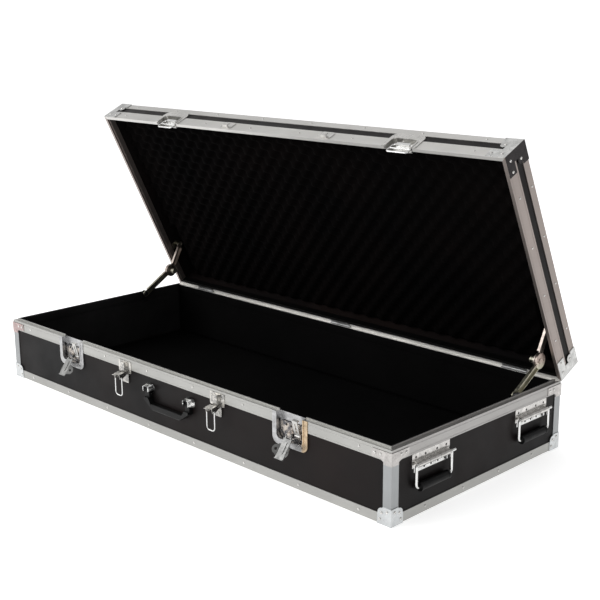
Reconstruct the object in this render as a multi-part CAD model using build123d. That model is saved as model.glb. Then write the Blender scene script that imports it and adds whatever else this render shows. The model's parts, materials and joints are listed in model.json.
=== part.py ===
from build123d import *
import os
from math import cos, radians, sin

# A pedalboard flight case: plywood panels in aluminium extrusions, lid held open by folding stays.
# Origin: centre of the base on the surface it stands on. +X along the long front, +Y to the back.

# ---- Driving dimensions, millimetres and degrees ---------------------------------------------
CASE_LENGTH = 1200.0
CASE_DEPTH = 515.0
BASE_HEIGHT = 141.0
LID_HEIGHT = 63.0
LID_OPEN = 64.5

ALU = 1.5                 # wall of the extrusions
PLY = 7.0                 # laminated plywood
FELT = 2.0                # lining of the base
FOOT = 1.2                # sheet of the corner brackets, proud of the aluminium
EDGE_BAND = 19.5          # width of the bottom edge angle
POST_BAND = 19.0
RIM_BAND = 22.5           # base rim, outside flange
RIM_CAP = 4.0
TONGUE = 3.6              # the base tongue stands this far above the rim
TONGUE_OUT, TONGUE_IN = 8.0, 10.0
LID_RIM_BAND = 28.0
LID_RIM_CAP = 6.6
LID_EDGE_BAND = 17.0
GROOVE = 0.4

DISH_X = 354.0            # butterfly latches
DISH_HALF = 46.0
PAN_HALF = 34.0
PAN_WALL = 1.0
PAN_DEPTH = 10.2
BASE_DISH_DROP = 63.0
WINDOW_DROP = 12.0        # flange above or below a pan's window
LID_DISH_RISE = 46.5
LID_DISH_HALF = 41.5
LID_PAN_HALF = 31.0
LID_WINDOW_DROP = 18.0
SPINDLE_Z = 103.0
KEY_HALF = 10.5
KEY_LENGTH = 49.0
KEY_TILT = 36.0
KEY_WINGS = 30.0          # the right key's wings bend forward, the left one's back
HOOK_TILT = 14.0
HOOK_X = 17.2
HOOK_HALF = 6.8
HOOK_TOP = 137.2
STRIKER_HALF = 26.0
STRIKER_S = 6.0

DRAW_X = 151.0            # draw latches
LEVER_Z, LEVER_S = 110.0, -4.5
LEVER_HALF = 9.75
LOOP_Z, LOOP_S = 103.0, -18.5
LOOP_HALF = 11.6
LOOP_LOW = 63.0

CARRY_X, CARRY_Z, CARRY_S = 65.5, 95.0, -3.5
CARRY_HALF = 6.4          # half the width of a grip's arm

BAIL_FRONT_Y = -151.0     # end handles
BAIL_BACK_Y = 156.0
BAIL_Z, BAIL_S = 99.0, -7.0
BAIL_LOW = 57.0
BAIL_HALF = 49.0
BAIL_WIRE = 2.9           # radius

HINGE_X = (-490.0, 0.0, 490.0)
HINGE_WIDTH = 60.0
KNUCKLE_R = 3.0

STAY_A = (126.0, 139.0)   # base pivot, Y and Z
STAY_E = (209.0, 189.0)   # elbow at rest
STAY_B = (109.0, 36.5)    # lid pivot: distance from the hinge, depth into the lid
STAY_WALL = 589.5
ARM_HALF = 7.0
DISC_R = 16.0

FOAM_THICK = 25.0

HX = CASE_LENGTH / 2
HY = CASE_DEPTH / 2
LID_TOP = BASE_HEIGHT + LID_HEIGHT
RIM_LOW = BASE_HEIGHT - RIM_BAND
PANEL_S = ALU + PLY
HINGE_AXIS = Axis((0, HY, BASE_HEIGHT), (1, 0, 0))

FRONT = Plane(origin=(0, -HY, 0), x_dir=(1, 0, 0), z_dir=(0, -1, 0))
RIGHT = Plane(origin=(HX, 0, 0), x_dir=(0, 1, 0), z_dir=(1, 0, 0))


# ---- Building blocks --------------------------------------------------------------------------
def block(x0, x1, y0, y1, z0, z1):
    size = Box(x1 - x0, y1 - y0, z1 - z0)
    return Pos((x0 + x1) / 2, (y0 + y1) / 2, (z0 + z1) / 2) * size


def rod(start, end, radius):
    path = Vector(*end) - Vector(*start)
    plane = Plane(origin=start, z_dir=path.normalized())
    return Solid.make_cylinder(radius, path.length, plane)


def rect(u0, u1, v0, v1, corner=0.0):
    width, height = u1 - u0, v1 - v0
    shape = RectangleRounded(width, height, corner) if corner else Rectangle(width, height)
    return Pos((u0 + u1) / 2, (v0 + v1) / 2) * shape


def disc(u, v, radius):
    return Pos(u, v) * Circle(radius)


def polygon(points):
    return make_face(Polyline(*points, close=True))


def slab(wall, sketch, s0, s1):
    """A sketch on a wall, from s0 to s1; s grows inward from the aluminium's outer face."""
    return wall.location * (Pos(0, 0, -s1) * extrude(sketch, amount=s1 - s0))


def yz_plate(sketch, x0, x1):
    """A sketch in Y and Z, between two X stations."""
    return Pos(x0, 0, 0) * (Plane.YZ.location * extrude(sketch, amount=x1 - x0))


def group(*shapes):
    return Compound([solid for shape in shapes for solid in shape.solids()])


def flip_x(shape):
    return mirror(shape, about=Plane.YZ)


def flip_y(shape):
    return mirror(shape, about=Plane.XZ)


def pair(shape):
    """The shape and its mirror image across the middle of the case."""
    return group(shape, flip_x(shape))


def four(shape):
    return group(pair(shape), flip_y(pair(shape)))


def opened(shape):
    """Turns what is modelled on the closed lid to the lid's rest pose."""
    return shape.rotate(HINGE_AXIS, -LID_OPEN)


def wedge(long_wall):
    """The part of the plan that belongs to the front wall, or to the right one, with mitred ends."""
    ridge = HX - HY
    if long_wall:
        plan = polygon([(-HX - 5, -HY - 5), (HX + 5, -HY - 5), (ridge, 0), (-ridge, 0)])
    else:
        plan = polygon([(HX + 5, -HY - 5), (HX + 5, HY + 5), (ridge, 0)])
    return extrude(plan, amount=LID_TOP + 10)


def ring(profile):
    """Four mitred bars of one profile (s, z): front, back and the two ends together."""
    long_bar = yz_plate(polygon([(-HY + s, z) for s, z in profile]), -HX, HX)
    end_face = polygon([(HX - s, z) for s, z in profile])
    end_bar = Pos(0, HY, 0) * (Plane.XZ.location * extrude(end_face, amount=CASE_DEPTH))
    front = long_bar & wedge(True)
    end = end_bar & wedge(False)
    return front, flip_y(front), pair(end)


def rivet(wall, u, v, s, radius=2.6):
    head = Cone(radius, radius * 0.6, 0.9, align=(Align.CENTER, Align.CENTER, Align.MIN))
    return wall.location * (Pos(u, v, -s) * head)


def wire(points, radii, radius, closed=False):
    """A bent round wire through the points, each corner an arc."""
    path = FilletPolyline(*points, radius=radii, close=closed)
    start = Plane(origin=path @ 0, z_dir=path % 0)
    return sweep(start * Circle(radius), path=path)


# ---- Base: panels, extrusions and fittings ----------------------------------------------------
def dish_window(z0, z1):
    """The openings in the front wall for the two latch pans."""
    half = PAN_HALF + PAN_WALL
    one = block(DISH_X - half, DISH_X + half, -HY - 1, -HY + PANEL_S + FELT + 1, z0, z1)
    return pair(one)


def base_panels():
    low, high = FOOT + ALU, BASE_HEIGHT - RIM_CAP
    inner = HX - PANEL_S
    floor = block(-inner, inner, -HY + PANEL_S, HY - PANEL_S, low, low + PLY)
    back = block(-inner, inner, HY - PANEL_S, HY - ALU, low, high)
    pan_low = BASE_HEIGHT - BASE_DISH_DROP + WINDOW_DROP - PAN_WALL
    front = flip_y(back) - dish_window(pan_low, high + 1)
    end = block(inner, HX - ALU, -HY + ALU, HY - ALU, low, high)
    return floor, front, back, pair(end)


def rim_profile():
    top, cap = BASE_HEIGHT, BASE_HEIGHT - RIM_CAP
    groove = [(0, top - 4.5), (GROOVE, top - 4.5), (GROOVE, top - 5.7), (0, top - 5.7)]
    step = [(0, RIM_LOW + 4.2), (GROOVE, RIM_LOW + 4.2), (GROOVE, RIM_LOW + 3), (0, RIM_LOW + 3)]
    outside = groove + step + [(0, RIM_LOW), (ALU, RIM_LOW), (ALU, cap), (PANEL_S, cap)]
    inside = [(PANEL_S, top - 14), (TONGUE_IN, top - 14), (TONGUE_IN, top + TONGUE)]
    return outside + inside + [(TONGUE_OUT, top + TONGUE), (TONGUE_OUT, top), (0, top)]


def hinge_pocket(z0, z1):
    """Room in a rim for one hinge leaf and the knuckles, at each hinge."""
    half = HINGE_WIDTH / 2 + 0.5
    cuts = []
    for x in HINGE_X:
        cuts.append(block(x - half, x + half, HY - 7.8, HY + 1, z0, z1))
        cuts.append(rod((x - half, HY, BASE_HEIGHT), (x + half, HY, BASE_HEIGHT), KNUCKLE_R + 0.6))
    return cuts


def base_rims():
    front, back, ends = ring(rim_profile())
    top = BASE_HEIGHT
    front = front - dish_window(RIM_LOW - 1, top + TONGUE + 1)
    back = back - block(-HX, HX, HY - PANEL_S - 3, HY - TONGUE_OUT + 0.2, top, top + TONGUE + 1)
    for cut in hinge_pocket(top - 1.2, top + 1):
        back = back - cut
    return front, back, ends


def base_edges():
    low, band = FOOT, EDGE_BAND
    profile = [(0, low), (POST_BAND, low), (POST_BAND, low + ALU), (ALU, low + ALU)]
    return group(*ring(profile + [(ALU, band), (0, band)]))


def base_posts():
    leg = POST_BAND
    plan = polygon([(HX, -HY), (HX, -HY + leg), (HX - ALU, -HY + leg), (HX - ALU, -HY + ALU),
                    (HX - leg, -HY + ALU), (HX - leg, -HY)])
    return four(Pos(0, 0, EDGE_BAND) * extrude(plan, amount=RIM_LOW - EDGE_BAND))


def corner_shell(face, z_plate=None, z0=0.0):
    """A sheet bracket round the front right corner. The face sketch runs (distance in, z)."""
    front = slab(FRONT, Pos(HX + FOOT, 0) * flip_x(face), -FOOT, 0)
    side = slab(RIGHT, Pos(-HY - FOOT, 0) * face, -FOOT, 0)
    shell = front + side
    if z_plate:
        flat = Pos(HX + FOOT, -HY - FOOT) * flip_x(z_plate)
        shell = shell + Pos(0, 0, z0) * extrude(flat, amount=FOOT)
    return shell


def base_corners():
    face = rect(0, 32, 0, 20, 0) + rect(0, 20, 0, 33, 0) + disc(21.5, 21.5, 9.5)
    foot = rect(0, 32, 0, 20) + rect(0, 20, 0, 32) + disc(21, 21, 9.5)
    return four(corner_shell(face, foot, 0.0))


def base_braces():
    arm = rect(0, 46, RIM_LOW + 2.5, BASE_HEIGHT - 5) + rect(0, 19, RIM_LOW - 7, RIM_LOW + 3)
    gusset = polygon([(19, RIM_LOW - 2), (19, RIM_LOW + 3), (30, RIM_LOW + 3)])
    return four(corner_shell(arm + gusset))


def base_rivets():
    heads = []
    for i in range(8):
        x = -525 + 150 * i
        heads.append(rivet(FRONT, x, EDGE_BAND / 2 + 1, 0))
        if abs(abs(x) - DISH_X) > DISH_HALF + 4 and abs(abs(x) - DRAW_X) > 26:
            heads.append(rivet(FRONT, x, RIM_LOW + RIM_BAND / 2, 0))
    for y in (-165, -55, 55, 165):
        heads.append(rivet(RIGHT, y, EDGE_BAND / 2 + 1, 0))
        heads.append(flip_x(heads[-1]))
    heads += [flip_y(head) for head in heads if head.center().Y < -HY / 2 - 60]
    corner = []
    for wall, place in ((FRONT, lambda a: HX + FOOT - a), (RIGHT, lambda a: -HY - FOOT + a)):
        for a, z in ((9.5, 26), (26, 9.5), (22, 22), (26, 129), (39, 129)):
            corner.append(rivet(wall, place(a), z, -FOOT, 2.9))
    return group(four(group(*corner)), *heads)


def inset(s, z0, z1):
    """The room inside the walls at depth s, between two heights."""
    return block(-HX + s, HX - s, -HY + s, HY - s, z0, z1)


def base_lining():
    """Felt on the floor and walls, with a band that covers the rims up to the tongue's top."""
    low, step, top = FOOT + ALU + PLY, BASE_HEIGHT - 14.1, BASE_HEIGHT + TONGUE - 0.2
    tray = inset(PANEL_S, low, step) - inset(PANEL_S + FELT, low + FELT, step + 1)
    band = inset(TONGUE_IN + 0.1, step - 6, top) - inset(TONGUE_IN + 1.3, step - 7, top + 1)
    band = band - block(-HX, HX, HY - 15, HY, BASE_HEIGHT - 0.2, top + 1)
    bracket_y, bracket_z = STAY_A
    notch = block(STAY_WALL - 3, HX, bracket_y - 9, bracket_y + 9, bracket_z - 21, top + 1)
    lining = tray + (band - pair(notch))
    return lining - dish_window(BASE_HEIGHT - BASE_DISH_DROP + 10, top + 1)


# ---- Hinges -----------------------------------------------------------------------------------
def hinge_leaf(x, first, z0, z1, bore):
    """One leaf with every second knuckle, starting at knuckle number first."""
    count, gap = 5, 0.15
    width = HINGE_WIDTH / count
    left = x - HINGE_WIDTH / 2
    plate = block(left, left + HINGE_WIDTH, HY - 7.5, HY - KNUCKLE_R - 0.4, z0, z1)
    for offset in (-22, 0, 22):
        plate = plate - rod((x + offset, HY - 5.6, z0 - 1), (x + offset, HY - 5.6, z1 + 1), 1.3)
    for i in range(first, count, 2):
        x0, x1 = left + i * width + gap, left + (i + 1) * width - gap
        plate = plate + block(x0, x1, HY - KNUCKLE_R - 0.5, HY, z0, z1)
        plate = plate + rod((x0, HY, BASE_HEIGHT), (x1, HY, BASE_HEIGHT), KNUCKLE_R)
    return plate - rod((left - 1, HY, BASE_HEIGHT), (x + HINGE_WIDTH, HY, BASE_HEIGHT), bore)


def hinges():
    top, thick, pin = BASE_HEIGHT, 1.2, 1.5
    base_leaves = group(*[hinge_leaf(x, 0, top - thick, top, pin + 0.02) for x in HINGE_X])
    lid_leaves = group(*[hinge_leaf(x, 1, top, top + thick, pin + 0.06) for x in HINGE_X])
    half = HINGE_WIDTH / 2 + 0.4
    pins = group(*[rod((x - half, HY, top), (x + half, HY, top), pin) for x in HINGE_X])
    return base_leaves, opened(lid_leaves), pins


# ---- Lid, modelled closed and then turned -----------------------------------------------------
def lid_panels():
    low, high = BASE_HEIGHT + LID_RIM_CAP, LID_TOP - ALU - PLY
    inner = HX - PANEL_S
    top = block(-HX + ALU, HX - ALU, -HY + ALU, HY - ALU, high, LID_TOP - ALU)
    back = block(-inner, inner, HY - PANEL_S, HY - ALU, low, high)
    front = flip_y(back) - dish_window(low - 1, BASE_HEIGHT + LID_DISH_RISE - LID_WINDOW_DROP + PAN_WALL)
    end = block(inner, HX - ALU, -HY + ALU, HY - ALU, low, high)
    return opened(top), opened(group(front, back, pair(end)))


def lid_rim_profile():
    low, cap, band = BASE_HEIGHT, BASE_HEIGHT + LID_RIM_CAP, BASE_HEIGHT + LID_RIM_BAND
    recess = low + TONGUE + 1.2
    outside = [(0, low), (TONGUE_OUT - 1, low), (TONGUE_OUT - 1, recess), (TONGUE_IN, recess)]
    inside = [(TONGUE_IN, low + 18), (PANEL_S, low + 18), (PANEL_S, cap), (ALU, cap)]
    upper = [(ALU, band), (0, band), (0, band - 4), (GROOVE, band - 4), (GROOVE, band - 5.2)]
    lower = [(0, band - 5.2), (0, low + 5.2), (GROOVE, low + 5.2), (GROOVE, low + 4), (0, low + 4)]
    return outside + inside + upper + lower


def lid_rims():
    front, back, ends = ring(lid_rim_profile())
    front = front - dish_window(BASE_HEIGHT - 1, BASE_HEIGHT + LID_RIM_BAND + 1)
    for cut in hinge_pocket(BASE_HEIGHT - 1, BASE_HEIGHT + 1.2):
        back = back - cut
    return opened(front), opened(back), opened(ends)


def lid_edges():
    top, band = LID_TOP, LID_TOP - LID_EDGE_BAND
    profile = [(0, band), (ALU, band), (ALU, top - ALU), (LID_EDGE_BAND, top - ALU)]
    return opened(group(*ring(profile + [(LID_EDGE_BAND, top), (0, top)])))


def lid_corners():
    low = BASE_HEIGHT
    rim_arm = rect(0, 44, low + 0.8, low + 23)
    upright = rect(0, 22, low + 0.8, LID_TOP + FOOT)
    edge_arm = rect(0, 40, LID_TOP - LID_EDGE_BAND + 1, LID_TOP + FOOT)
    face = rim_arm + upright + edge_arm + disc(28, low + 41, 8)
    flat = rect(0, 31, 0, 18) + rect(0, 18, 0, 31) + disc(19, 19, 9.5)
    return opened(four(corner_shell(face, flat, LID_TOP)))


def lid_rivets():
    heads, low = [], BASE_HEIGHT
    for i in range(8):
        x = -525 + 150 * i
        heads.append(rivet(FRONT, x, LID_TOP - 8, 0, 2.3))
        heads.append(flip_y(heads[-1]))
        if abs(abs(x) - DISH_X) > DISH_HALF + 4 and abs(abs(x) - DRAW_X) > 24:
            heads.append(rivet(FRONT, x, low + 14, 0, 2.3))
            heads.append(flip_y(heads[-1]))
    for y in (-165, -55, 55, 165):
        for z in (low + 14, LID_TOP - 8):
            heads.append(rivet(RIGHT, y, z, 0, 2.3))
            heads.append(flip_x(heads[-1]))
    corner = []
    for wall, place in ((FRONT, lambda a: HX + FOOT - a), (RIGHT, lambda a: -HY - FOOT + a)):
        for a, z in ((14, low + 12), (37, low + 12), (26, low + 42)):
            corner.append(rivet(wall, place(a), z, -FOOT, 2.9))
    return opened(group(four(group(*corner)), *heads))


def lid_foam():
    top = LID_TOP - ALU - PLY
    side, front, back = HX - PANEL_S - 1.5, -HY + 13, HY - PANEL_S - 2
    pad = block(-side, side, front, back, top - FOAM_THICK, top)
    stay_room = block(HX - 45, HX, HY - 165, HY, top - FOAM_THICK - 1, top + 1)
    return opened(pad - pair(stay_room))


# ---- Butterfly latches ------------------------------------------------------------------------
def dish(outline, window, pan, hollow, band_z):
    """A pressed dish: flange over the wall, a bead round the window, and a pan behind it."""
    flange = slab(FRONT, outline, -FOOT, ALU) - block(-999, 999, -HY, 0, band_z[0], band_z[1])
    bead = slab(FRONT, offset(window, 3.0) & outline, -2.2, -FOOT)
    body = flange + bead + slab(FRONT, pan, -FOOT, PAN_DEPTH + PAN_WALL)
    return body - slab(FRONT, hollow, -5, PAN_DEPTH)


def base_dishes():
    low, top = BASE_HEIGHT - BASE_DISH_DROP, BASE_HEIGHT
    outline = rect(-DISH_HALF, DISH_HALF, low, top + 20, 15) & rect(-99, 99, 0, top)
    sill = low + WINDOW_DROP
    window = rect(-PAN_HALF, PAN_HALF, sill, top + 20, 9) & rect(-99, 99, 0, top)
    pan = rect(-PAN_HALF - PAN_WALL, PAN_HALF + PAN_WALL, sill - PAN_WALL, top + 20, 9.9)
    pan = pan & rect(-99, 99, 0, top)
    one = dish(outline, window, pan, window, (RIM_LOW, top + 30))
    return group(Pos(DISH_X, 0, 0) * one, Pos(-DISH_X, 0, 0) * one)


def lid_dishes():
    low, high = BASE_HEIGHT, BASE_HEIGHT + LID_DISH_RISE
    cut = rect(-99, 99, low, high + 99)
    half, head = LID_PAN_HALF, high - LID_WINDOW_DROP
    outline = rect(-LID_DISH_HALF, LID_DISH_HALF, low - 40, high, 14.5) & cut
    window = rect(-half, half, low - 20, head, 8) & cut
    pan = rect(-half - PAN_WALL, half + PAN_WALL, low - 20, head + PAN_WALL, 8.9) & cut
    one = dish(outline, window, pan, window, (low - 30, low + LID_RIM_BAND))
    lip = slab(FRONT, rect(-99, 99, LID_TOP - LID_EDGE_BAND, LID_TOP), 0, ALU)
    one = one - lip
    return opened(group(Pos(DISH_X, 0, 0) * one, Pos(-DISH_X, 0, 0) * one))


def front_point(x, s, z):
    return (x, -HY + s, z)


def latch_mechanism():
    """A bridge plate on the pan's back, with ears for the hook's pivot."""
    low, high, back = 92.0, 124.0, PAN_DEPTH
    face = rect(-31, 31, low, high, 4)
    for u, v in ((-16, 118), (-4, 117), (8, 115.5), (3, low + 4.5)):
        face = face - disc(u, v, 2.4)
    face = face - disc(0, SPINDLE_Z, 3.05)
    plate = slab(FRONT, face, 7.0, 8.2)
    for side in (-1, 1):
        plate = plate + slab(FRONT, rect(side * 29.5 - 1.4, side * 29.5 + 1.4, low + 4, high - 4), 8.2, back)
    reach = HOOK_HALF + 1.6
    for x in (HOOK_X - reach, HOOK_X + reach):
        plate = plate + slab(FRONT, rect(x - 0.6, x + 0.6, 99, 109), 1.6, 7.0)
    pin = rod(front_point(HOOK_X - reach - 0.6, 4, 104), front_point(HOOK_X + reach + 0.8, 4, 104), 1.4)
    return plate + pin


def latch_spindle():
    """The turning boss and the lug that the key hinges on."""
    boss = slab(FRONT, disc(0, SPINDLE_Z, 8), 2.6, 6.8)
    shaft = slab(FRONT, disc(0, SPINDLE_Z, 3.0), 6.8, 9.0)
    lug = slab(FRONT, rect(-4.6, 4.6, SPINDLE_Z - 3.4, SPINDLE_Z + 3.4), -3.4, 2.6)
    pin = rod(front_point(-8.2, -1, SPINDLE_Z), front_point(8.2, -1, SPINDLE_Z), 1.5)
    return boss + shaft + lug + pin


def latch_key(bend):
    """The butterfly: a strip with two round wings bent to the back, hanging tilted out from its pivot."""
    half, thick = KEY_HALF, 1.4
    z = SPINDLE_Z
    low = z - KEY_LENGTH
    face = rect(-half, half, low, z - 7, 1.5) + rect(-7.4, 7.4, z - 10, z + 3)
    face = face - rect(-5.2, 5.2, z - 8, z + 4)
    strip = slab(FRONT, face, -1 - thick / 2, -1 + thick / 2)
    ridge = slab(FRONT, rect(-3.5, 3.5, z - 38, z - 14, 2), -2.7, -1.5)
    lip = slab(FRONT, rect(-half, half, low, low + 1.3), -3.6, -1.2)
    lobe = rect(0, 4, z - 43, z - 20) + disc(3.6, z - 32, 9.5)
    lobe = (lobe & rect(0, 99, 0, 200)) - disc(6, z - 32, 2.8)
    wing = FRONT.location * (Pos(0, 0, 1 - thick / 2) * extrude(lobe, amount=thick))
    fold = Axis(front_point(0, -1, 0), (0, 0, 1))
    wing = Pos(half - 0.6, 0, 0) * wing.rotate(fold, bend)
    key = strip + ridge + lip + wing + flip_x(wing)
    for x in (-6.3, 6.3):
        key = key + rod(front_point(x - 1.1, -1, z), front_point(x + 1.1, -1, z), 3.3)
    key = key - rod(front_point(-20, -1, z), front_point(20, -1, z), 1.56)
    return key.rotate(Axis(front_point(0, -1, z), (1, 0, 0)), -KEY_TILT)


def latch_hook():
    """The catch that tips over the striker bar; at rest it stands tipped out."""
    z, half, claw = 104.0, HOOK_HALF, 1.6
    outline = [(2.2, z), (2.2, HOOK_TOP), (8.4, HOOK_TOP), (8.4, HOOK_TOP - claw),
               (3.6, HOOK_TOP - claw), (3.6, z)]
    profile = polygon([(-HY + s, v) for s, v in outline])
    hook = yz_plate(profile, HOOK_X - half, HOOK_X + half)
    slot = block(HOOK_X - 1.4, HOOK_X + 1.4, -HY - 5, -HY + 6, 112, HOOK_TOP - 6)
    eye = rod(front_point(HOOK_X - half, 4, z), front_point(HOOK_X + half, 4, z), 2.8)
    hook = (hook - slot) + eye
    hook = hook - rod(front_point(-20, 4, z), front_point(40, 4, z), 1.46)
    return hook.rotate(Axis(front_point(0, 4, z), (1, 0, 0)), HOOK_TILT)


def striker():
    """On the lid: a round bar loop past the opening edge, with a rung, held by a folded plate."""
    half, s, r = STRIKER_HALF, STRIKER_S, 1.8
    low, rung, high = BASE_HEIGHT - 8, BASE_HEIGHT + 4.5, BASE_HEIGHT + 17
    corners = [(-half, low), (half, low), (half, high), (-half, high)]
    loop = wire([front_point(u, s, v) for u, v in corners], [6.0] * 4, r, closed=True)
    loop = loop + rod(front_point(-half, s, rung), front_point(half, s, rung), 1.5)
    plate = slab(FRONT, rect(-17, 17, high - 7, high + 9, 3), 8.2, PAN_DEPTH)
    strap = slab(FRONT, rect(-17, 17, high - 4, high + 4), 2.6, 8.2)
    strap = strap - rod(front_point(-half, s, high), front_point(half, s, high), r)
    return group(loop, plate + strap)


# ---- Draw latches -----------------------------------------------------------------------------
def draw_plate():
    """A plate on the rim with a narrow tail, and a pressed channel that carries the lever's pin."""
    face = rect(-21.5, 21.5, 110, 136, 3) + rect(-12, 12, 88, 116, 2)
    for u, v in ((-13, 117), (13, 117), (-13, 130), (13, 130)):
        face = face - disc(u, v, 1.7)
    plate = slab(FRONT, face, -FOOT, ALU) - block(-99, 99, -HY, 0, RIM_LOW, 200)
    channel = slab(FRONT, rect(-6, 6, LEVER_Z - 4, 134), -7.6, -0.6)
    plate = (plate + channel) - slab(FRONT, rect(-4.8, 4.8, LEVER_Z - 5, 131), -6.4, -FOOT)
    return plate + rod(front_point(-11, LEVER_S, LEVER_Z), front_point(11, LEVER_S, LEVER_Z), 1.5)


def draw_lever():
    """The tilting lever: two cheeks under a sloping top, with a thin tab for the finger."""
    y, z, half, sheet = -HY + LEVER_S, LEVER_Z, LEVER_HALF, 1.2
    loop_y, heel_y, nose_y = -HY + LOOP_S, y - 7.5, y - 19
    cheek = polygon([(y, z - 2.8), (y, z + 2.8), (heel_y, z + 3), (nose_y, z + 0.5), (nose_y, z - 2.5),
                     (loop_y - 3.2, LOOP_Z - 3.0), (loop_y + 3.2, LOOP_Z - 3.0)])
    cheek = cheek + disc(y, z, 2.8)
    cheek = cheek - disc(y, z, 1.56) - disc(loop_y, LOOP_Z, 1.46)
    lever = yz_plate(cheek, half - sheet, half) + yz_plate(cheek, -half, -half + sheet)
    top = polygon([(heel_y, z + 3), (nose_y, z + 0.5), (nose_y, z - 0.7), (heel_y, z + 1.8)])
    tab = polygon([(nose_y, z + 0.5), (nose_y - 7, z + 1.2), (nose_y - 7, z), (nose_y, z - 0.7)])
    return lever + yz_plate(top, -half, half) + yz_plate(tab, -6.5, 6.5)


def draw_loop():
    y, z, half, end = -HY + LOOP_S, LOOP_Z, LOOP_HALF, LEVER_HALF - 2.2
    corners = [(-end, z), (-half, z), (-half, LOOP_LOW), (half, LOOP_LOW), (half, z), (end, z)]
    return wire([(x, y, v) for x, v in corners], [1.8, 8.0, 8.0, 1.8], 1.4)


def draw_keeper():
    low = BASE_HEIGHT
    face = rect(-19, 19, low + 4, low + 27, 6) - disc(0, low + 21, 2)
    plate = slab(FRONT, face, -FOOT, 0)
    foot = slab(FRONT, rect(-8, 8, low + 7, low + 9), -6.4, -FOOT)
    lip = slab(FRONT, rect(-8, 8, low + 9, low + 15), -6.4, -5.0)
    return plate + foot + lip


# ---- Carry handle -----------------------------------------------------------------------------
def slab_taper(sketch, s, height, angle):
    return FRONT.location * (Pos(0, 0, -s) * extrude(sketch, amount=height, taper=angle))


def carry_cap():
    """A faceted dome over one end of the grip, slotted below and in front."""
    outline = rect(-14.5, 14.5, -11, 11, 9)
    dome = slab(FRONT, outline, 0, ALU) + slab_taper(outline, 0, 13.0, 20)
    slot = slab(FRONT, rect(-CARRY_HALF - 0.4, CARRY_HALF + 0.4, -20, 5.4), -20, ALU + 1)
    pin = rod(front_point(-9.5, CARRY_S, 0), front_point(9.5, CARRY_S, 0), 2.0)
    return Pos(CARRY_X, 0, CARRY_Z) * ((dome - slot) + pin)


def carry_grip():
    """The moulded grip: two arms from the pivots and a thick bar with slanted ends."""
    x, z, half, eye = CARRY_X, CARRY_Z, CARRY_HALF, 4.8
    arm = rect(x - half, x + half, z - 24, z)
    arms = slab(FRONT, arm + flip_x(arm), CARRY_S - eye, CARRY_S + eye)
    for side in (-1, 1):
        arms = arms + rod(front_point(side * x - half, CARRY_S, z),
                          front_point(side * x + half, CARRY_S, z), eye)
    outer = [(42, z - 43), (x + half, z - 23), (x + half, z - 18)]
    right = outer + [(x - half, z - 18), (x - 14, z - 29.5)]
    bar = polygon(right + [(-u, v) for u, v in right[::-1]])
    body = slab(FRONT, bar, CARRY_S - 9, CARRY_S + 4.4)
    long_edges = body.edges().filter_by(Axis.X).filter_by(lambda e: e.length > 80)
    grip = arms + fillet(long_edges, 3.6)
    return grip - rod(front_point(-99, CARRY_S, z), front_point(99, CARRY_S, z), 2.06)


# ---- End handles ------------------------------------------------------------------------------
def end_point(y, s, z):
    return (HX - s, y, z)


def bail_plate():
    """A stepped plate with a rolled sleeve for the bail's rod."""
    half, low, high = 52.0, 83.0, 118.2
    face = rect(-half, half, low, high, 1.5)
    face = face - rect(-half - 1, -half + 5, low - 1, 92) - rect(half - 5, half + 1, low - 1, 92)
    for y in (-42, -16, 16, 42):
        face = face - disc(y, 111, 2.2)
    for y in (-38, -19, 0, 19, 38):
        face = face - disc(y, 88, 2.2)
    plate = slab(RIGHT, face, 0, ALU)
    for y0, y1 in ((-45, -16), (-15, 15), (16, 45)):
        plate = plate + rod(end_point(y0, BAIL_S, BAIL_Z), end_point(y1, BAIL_S, BAIL_Z), 4.4)
        plate = plate + block(HX, HX - BAIL_S, y0, y1, BAIL_Z + 2.6, BAIL_Z + 4.4)
    plate = plate + slab(RIGHT, rect(-47, 47, BAIL_Z + 4.4, BAIL_Z + 7), -3, 0)
    return plate - rod(end_point(-60, BAIL_S, BAIL_Z), end_point(60, BAIL_S, BAIL_Z), BAIL_WIRE + 0.05)


def bail():
    """The bent wire: a rod through the sleeve, two legs and the bar inside the grip."""
    half, low = BAIL_HALF, BAIL_LOW
    corners = [(-half, low), (half, low), (half, BAIL_Z), (-half, BAIL_Z)]
    places = [end_point(y, BAIL_S, z) for y, z in corners]
    frame = wire(places, [8.0, 8.0, 4.0, 4.0], BAIL_WIRE, closed=True)
    tail = rod(end_point(half, BAIL_S, BAIL_Z), end_point(half + 10, BAIL_S, BAIL_Z), BAIL_WIRE)
    return frame + tail


def bail_grip():
    """The rubber sleeve on the bail, with a collar at each end."""
    half, z = BAIL_HALF - 9, BAIL_LOW
    sleeve = rod(end_point(-half, BAIL_S, z), end_point(half, BAIL_S, z), 7.6)
    for side in (-1, 1):
        sleeve = sleeve + rod(end_point(side * half, BAIL_S, z),
                              end_point(side * (half - 4), BAIL_S, z), 8.2)
    return sleeve - rod(end_point(-60, BAIL_S, z), end_point(60, BAIL_S, z), BAIL_WIRE + 0.02)


# ---- Lid stays, modelled at the right end -----------------------------------------------------
def lid_point(u, t):
    """Y and Z of a point u along the open lid from the hinge and t into its depth."""
    a = radians(LID_OPEN)
    return (HY - u * cos(a) + t * sin(a), BASE_HEIGHT + u * sin(a) + t * cos(a))


def stay_point(place, x):
    return (x, place[0], place[1])


def strip(start, end, half, trim0=0.0, trim1=0.0, side=0.0):
    """A straight band between two places in Y and Z, trimmed at its ends."""
    run = Vector(*end) - Vector(*start)
    along = run.normalized()
    across = Vector(-along.Y, along.X)
    a = Vector(*start) + along * trim0 + across * side
    b = Vector(*end) - along * trim1 + across * side
    points = [a + across * half, b + across * half, b - across * half, a - across * half]
    return polygon([(p.X, p.Y) for p in points])


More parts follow.
